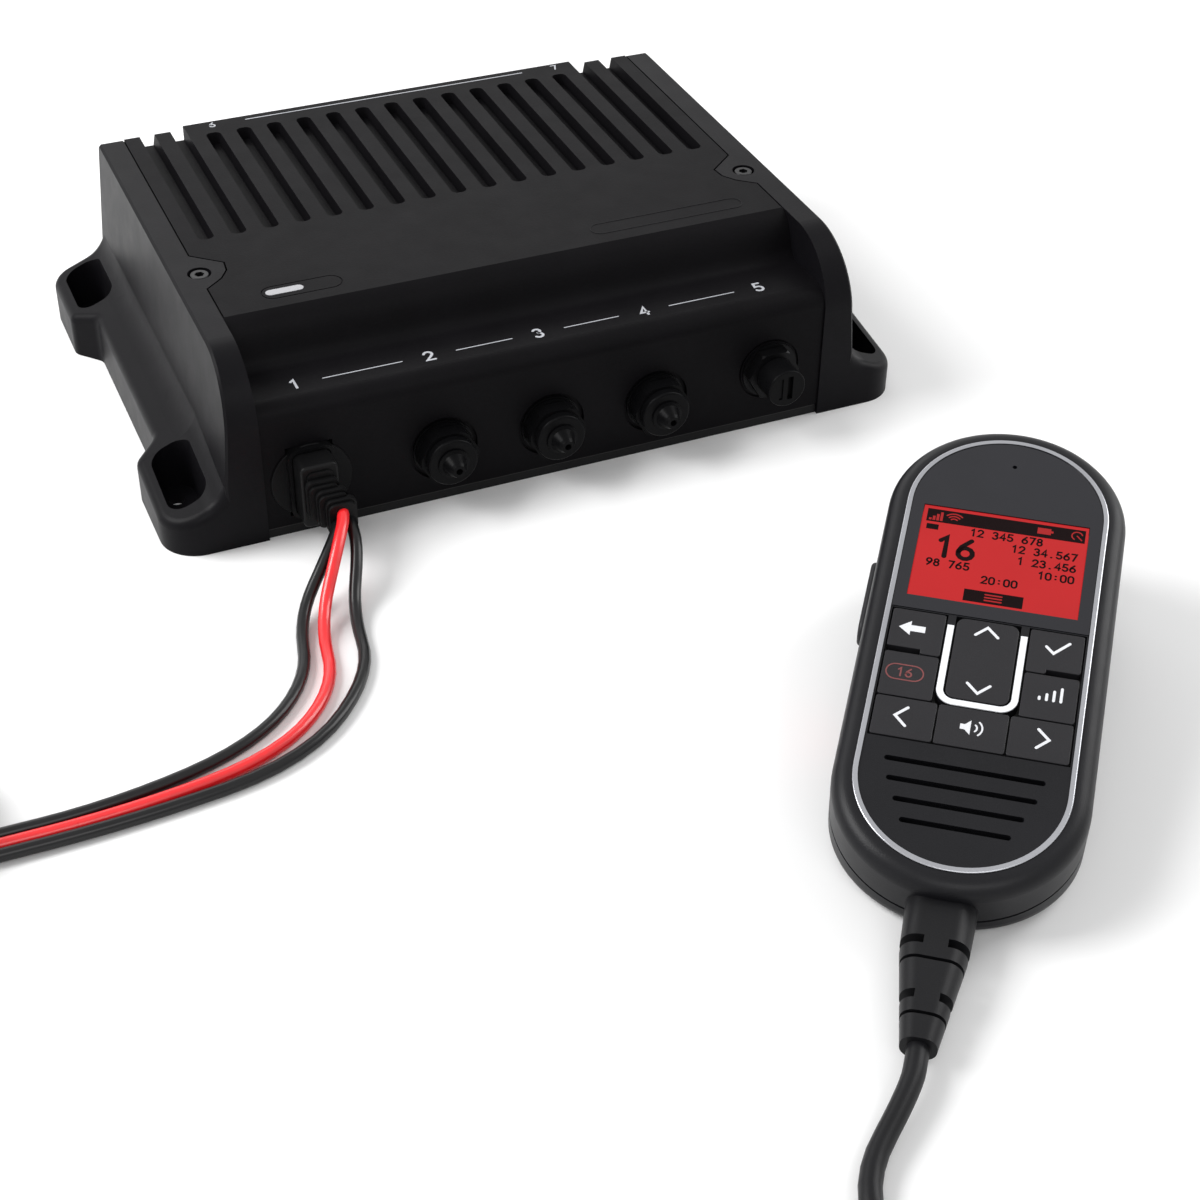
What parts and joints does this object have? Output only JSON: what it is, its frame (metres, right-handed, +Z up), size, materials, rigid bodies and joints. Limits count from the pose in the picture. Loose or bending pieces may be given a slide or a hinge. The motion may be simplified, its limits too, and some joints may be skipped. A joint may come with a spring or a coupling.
{
  "type": "vhf marine radio",
  "caption": "Black box marine VHF radio: finned die-cast transceiver with capped ports and supply leads, and a wired handset with a red-lit screen and keypad.",
  "frame": {"origin": "centre of the transceiver's base face, on the surface that it stands on", "axes": "+Z up, the port panel faces -Y, +X towards the network port"},
  "size_m": [0.4114, 0.5968, 0.0657],
  "materials": {
    "housing_coat": "satin powder coat on cast aluminium, near black",
    "frame_coat": "satin powder coat on cast aluminium, near black, slightly finer",
    "base_coat": "matt powder coat on aluminium plate",
    "black_screw": "blackened steel, satin",
    "steel_screw": "plain stainless",
    "seal_rubber": "matt black silicone",
    "lens_smoke": "smoked light pipe",
    "board_green": "solder resist",
    "chip_black": "moulded package",
    "shield_tin": "tinned sheet",
    "connector_metal": "black zinc",
    "cap_plastic": "moulded black plastic, satin",
    "socket_plastic": "moulded black plastic",
    "plug_rubber": "moulded soft PVC",
    "aerial_metal": "nickel plate",
    "lead_red": "glossy PVC insulation, red",
    "lead_black": "glossy PVC insulation, black",
    "tie_nylon": "black nylon",
    "shell_plastic": "fine-textured black plastic",
    "trim_silver": "satin metal-look trim",
    "window_glass": "gloss black panel",
    "display_red": "lit liquid-crystal screen, red",
    "key_rubber": "matt silicone keys",
    "strip_white": "white light guide",
    "flap_red": "red moulded plastic",
    "speaker_black": "coated paper cone and black frame",
    "stud_metal": "turned stainless",
    "cord_rubber": "satin polyurethane",
    "plug_metal": "black nickel"
  },
  "bodies": {
    "transceiver": {"main_housing": "housing_coat", "left_end_frame": "frame_coat", "right_end_frame": "frame_coat", "top_screws": "black_screw", "base_plate": "base_coat", "base_gasket": "seal_rubber", "base_screws": "steel_screw", "status_lens": "lens_smoke", "main_circuit_board": "board_green", "board_screws": "steel_screw", "rf_power_module": "chip_black", "rf_shield_can": "shield_tin", "connector_board": "board_green", "handset_socket_1": "connector_metal", "handset_socket_2": "connector_metal", "handset_socket_3": "connector_metal", "network_socket": "connector_metal", "power_socket": "socket_plastic", "antenna_socket": "aerial_metal", "gps_socket": "aerial_metal"},
    "supply_lead": {"power_plug": "plug_rubber", "supply_lead_black_1": "lead_black", "supply_lead_red": "lead_red", "supply_lead_black_2": "lead_black", "supply_lead_coil": "lead_black", "supply_lead_tie": "tie_nylon"},
    "handset": {"handset_front_shell": "shell_plastic", "handset_back_shell": "shell_plastic", "handset_seal": "seal_rubber", "trim_ring": "trim_silver", "display_window": "window_glass", "display_module": "display_red", "nav_trim": "strip_white", "keypad_mat": "seal_rubber", "handset_board": "board_green", "speaker": "speaker_black", "microphone": "speaker_black", "handset_screws": "steel_screw", "hang_stud": "stud_metal", "cord_boot": "cord_rubber", "handset_cord": "cord_rubber", "handset_cord_coil": "cord_rubber", "handset_cord_tie": "tie_nylon", "handset_plug": "plug_metal"},
    "port_cap_1": {"port_cap_1": "cap_plastic"},
    "port_cap_2": {"port_cap_2": "cap_plastic"},
    "port_cap_3": {"port_cap_3": "cap_plastic"},
    "network_cap": {"network_cap": "cap_plastic"},
    "back_key": {"back_key": "key_rubber"},
    "channel_key": {"channel_key": "key_rubber"},
    "ok_key": {"ok_key": "key_rubber"},
    "output_level_key": {"output_level_key": "key_rubber"},
    "left_key": {"left_key": "key_rubber"},
    "volume_key": {"volume_key": "key_rubber"},
    "right_key": {"right_key": "key_rubber"},
    "nav_rocker": {"nav_rocker": "key_rubber"},
    "talk_key": {"talk_key": "key_rubber"},
    "distress_flap": {"distress_flap": "flap_red"},
    "distress_key": {"distress_key": "flap_red"},
    "handset_plug_collar": {"handset_plug_collar": "plug_metal"}
  },
  "joints": [
    {"name": "supply_plug_pull", "type": "slide", "parent": "transceiver", "child": "supply_lead", "axis": [0, -1, 0], "range_m": [0, 0.02]},
    {"name": "handset_lift", "type": "slide", "parent": "transceiver", "child": "handset", "axis": [0, 0, 1], "range_m": [0, 0.25]},
    {"name": "port_cap_1_pull", "type": "slide", "parent": "transceiver", "child": "port_cap_1", "axis": [0, -1, 0], "range_m": [0, 0.02]},
    {"name": "port_cap_2_pull", "type": "slide", "parent": "transceiver", "child": "port_cap_2", "axis": [0, -1, 0], "range_m": [0, 0.02]},
    {"name": "port_cap_3_pull", "type": "slide", "parent": "transceiver", "child": "port_cap_3", "axis": [0, -1, 0], "range_m": [0, 0.02]},
    {"name": "network_cap_pull", "type": "slide", "parent": "transceiver", "child": "network_cap", "axis": [0, -1, 0], "range_m": [0, 0.02]},
    {"name": "back_key_press", "type": "slide", "parent": "handset", "child": "back_key", "axis": [0.1303, 0.1729, -0.9763], "range_m": [0, 0.0006], "stiffness_N_per_m": 1500},
    {"name": "channel_key_press", "type": "slide", "parent": "handset", "child": "channel_key", "axis": [0.1303, 0.1729, -0.9763], "range_m": [0, 0.0006], "stiffness_N_per_m": 1500},
    {"name": "ok_key_press", "type": "slide", "parent": "handset", "child": "ok_key", "axis": [0.1303, 0.1729, -0.9763], "range_m": [0, 0.0006], "stiffness_N_per_m": 1500},
    {"name": "output_level_key_press", "type": "slide", "parent": "handset", "child": "output_level_key", "axis": [0.1303, 0.1729, -0.9763], "range_m": [0, 0.0006], "stiffness_N_per_m": 1500},
    {"name": "left_key_press", "type": "slide", "parent": "handset", "child": "left_key", "axis": [0.1303, 0.1729, -0.9763], "range_m": [0, 0.0006], "stiffness_N_per_m": 1500},
    {"name": "volume_key_press", "type": "slide", "parent": "handset", "child": "volume_key", "axis": [0.1303, 0.1729, -0.9763], "range_m": [0, 0.0006], "stiffness_N_per_m": 1500},
    {"name": "right_key_press", "type": "slide", "parent": "handset", "child": "right_key", "axis": [0.1303, 0.1729, -0.9763], "range_m": [0, 0.0006], "stiffness_N_per_m": 1500},
    {"name": "nav_rocker_tilt", "type": "hinge", "parent": "handset", "child": "nav_rocker", "pos_m": [0.05658, -0.27003, 0.03601], "axis": [0.7986, -0.6018, 0], "range_deg": [-2, 2], "stiffness_Nm_per_rad": 0.4},
    {"name": "talk_key_press", "type": "slide", "parent": "handset", "child": "talk_key", "axis": [0.7986, -0.6018, 0], "range_m": [0, 0.0016], "stiffness_N_per_m": 2000},
    {"name": "distress_flap_hinge", "type": "hinge", "parent": "handset", "child": "distress_flap", "pos_m": [0.02763, -0.24829, 0.01131], "axis": [-0.5875, -0.7797, -0.2164], "range_deg": [0, 100]},
    {"name": "distress_key_press", "type": "slide", "parent": "handset", "child": "distress_key", "axis": [0.7986, -0.6018, 0], "range_m": [0, 0.0007], "stiffness_N_per_m": 1500},
    {"name": "handset_plug_collar_turn", "type": "hinge", "parent": "handset", "child": "handset_plug_collar", "pos_m": [-0.0826, -0.485, 0.0252], "axis": [-1, 0, 0], "continuous": true}
  ]
}
